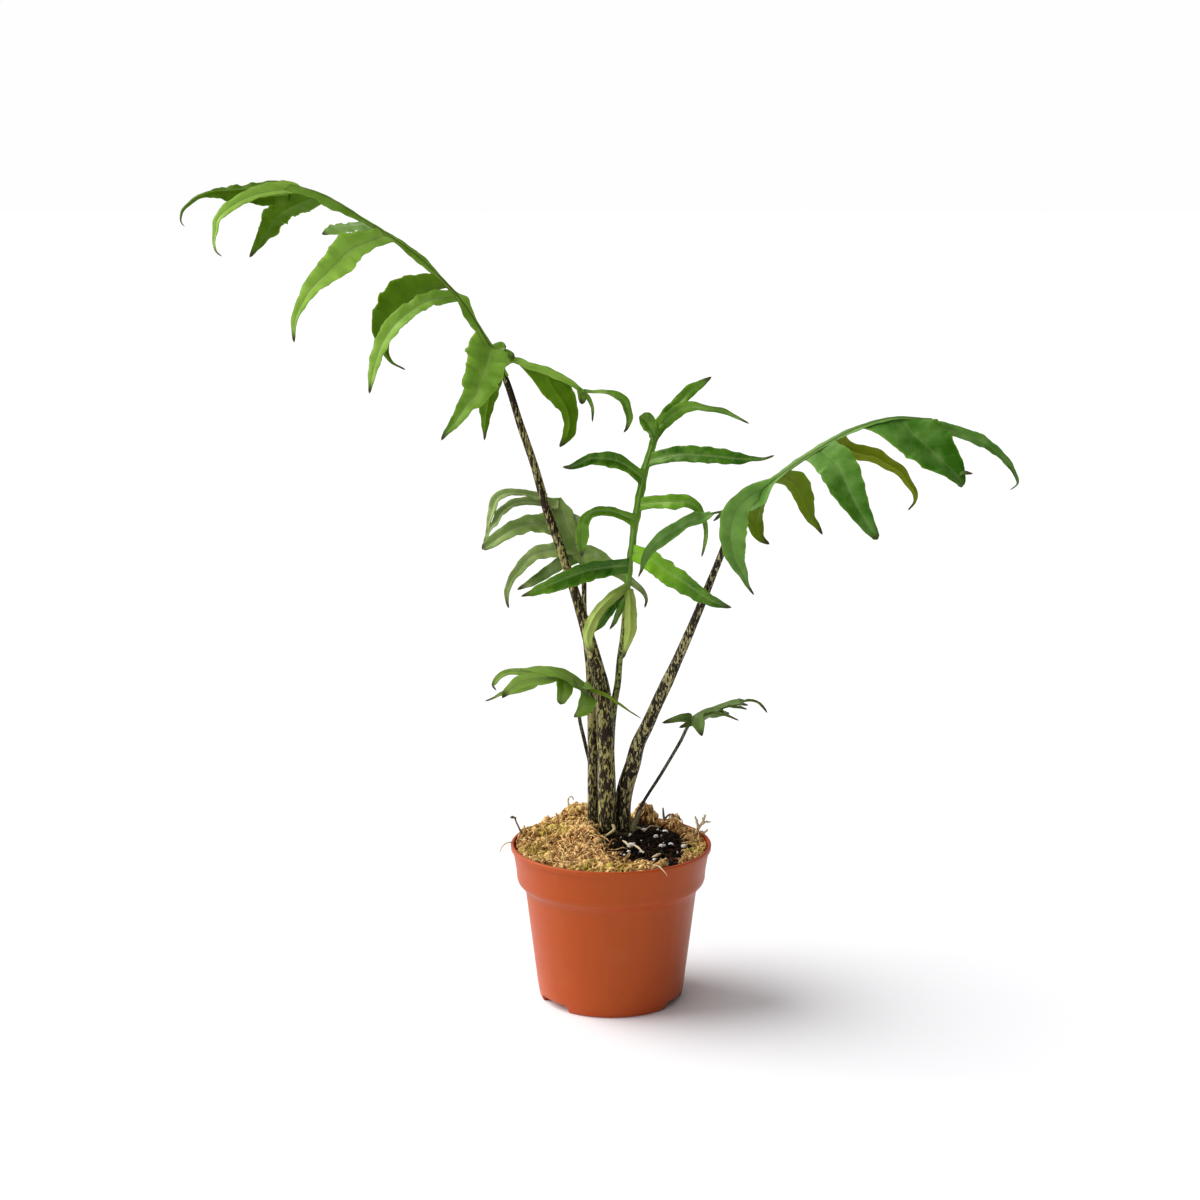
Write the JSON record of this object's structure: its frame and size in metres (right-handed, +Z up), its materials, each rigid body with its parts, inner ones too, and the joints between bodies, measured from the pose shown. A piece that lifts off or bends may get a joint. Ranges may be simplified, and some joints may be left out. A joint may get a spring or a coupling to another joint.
{
  "type": "potted aroid house plant",
  "caption": "Potted aroid house plant with mottled leaf stalks and blades cut into long pointed lobes, in moss and peat in a round nursery pot.",
  "frame": {"origin": "middle of the pot's underside, on the surface that it stands on", "axes": "+Z up, along the pot's axis and the plant's height; -Y towards the front; +X to the right, where the second-longest leaf reaches"},
  "size_m": [0.4765, 0.1265, 0.486],
  "materials": {
    "pot_plastic": "satin",
    "peat_mix": "matte",
    "sphagnum_moss": "matte",
    "perlite": "matte",
    "stem_skin": "satin",
    "dry_sheath": "matte",
    "dry_stem": "matte",
    "leaf_stalk": "satin",
    "leaf_blade": "satin",
    "leaf_blade_glossy": "gloss"
  },
  "bodies": {
    "root": {"pot": "pot_plastic", "potting_mix": "peat_mix", "moss_mat": "sphagnum_moss", "moss_fringe": "sphagnum_moss", "stem_base": "stem_skin", "aerial_root": "stem_skin", "leaf_sheath": "dry_sheath", "moss_sprig_left": "dry_stem", "moss_sprig_right": "dry_stem", "moss_sprig_back": "dry_stem", "twig": "dry_stem", "perlite_1": "perlite", "perlite_2": "perlite", "perlite_3": "perlite", "perlite_4": "perlite", "perlite_5": "perlite", "perlite_6": "perlite", "perlite_7": "perlite", "perlite_8": "perlite", "perlite_9": "perlite", "perlite_10": "perlite", "perlite_11": "perlite", "perlite_12": "perlite", "petiole_left": "leaf_stalk", "petiole_right": "leaf_stalk", "petiole_middle": "leaf_stalk", "petiole_back": "leaf_stalk", "petiole_low_left": "leaf_stalk", "petiole_low_right": "leaf_stalk", "blade_left": "leaf_blade", "blade_right": "leaf_blade", "blade_middle": "leaf_blade_glossy", "blade_back": "leaf_blade", "blade_low_left": "leaf_blade", "blade_low_right": "leaf_blade"}
  },
  "joints": []
}
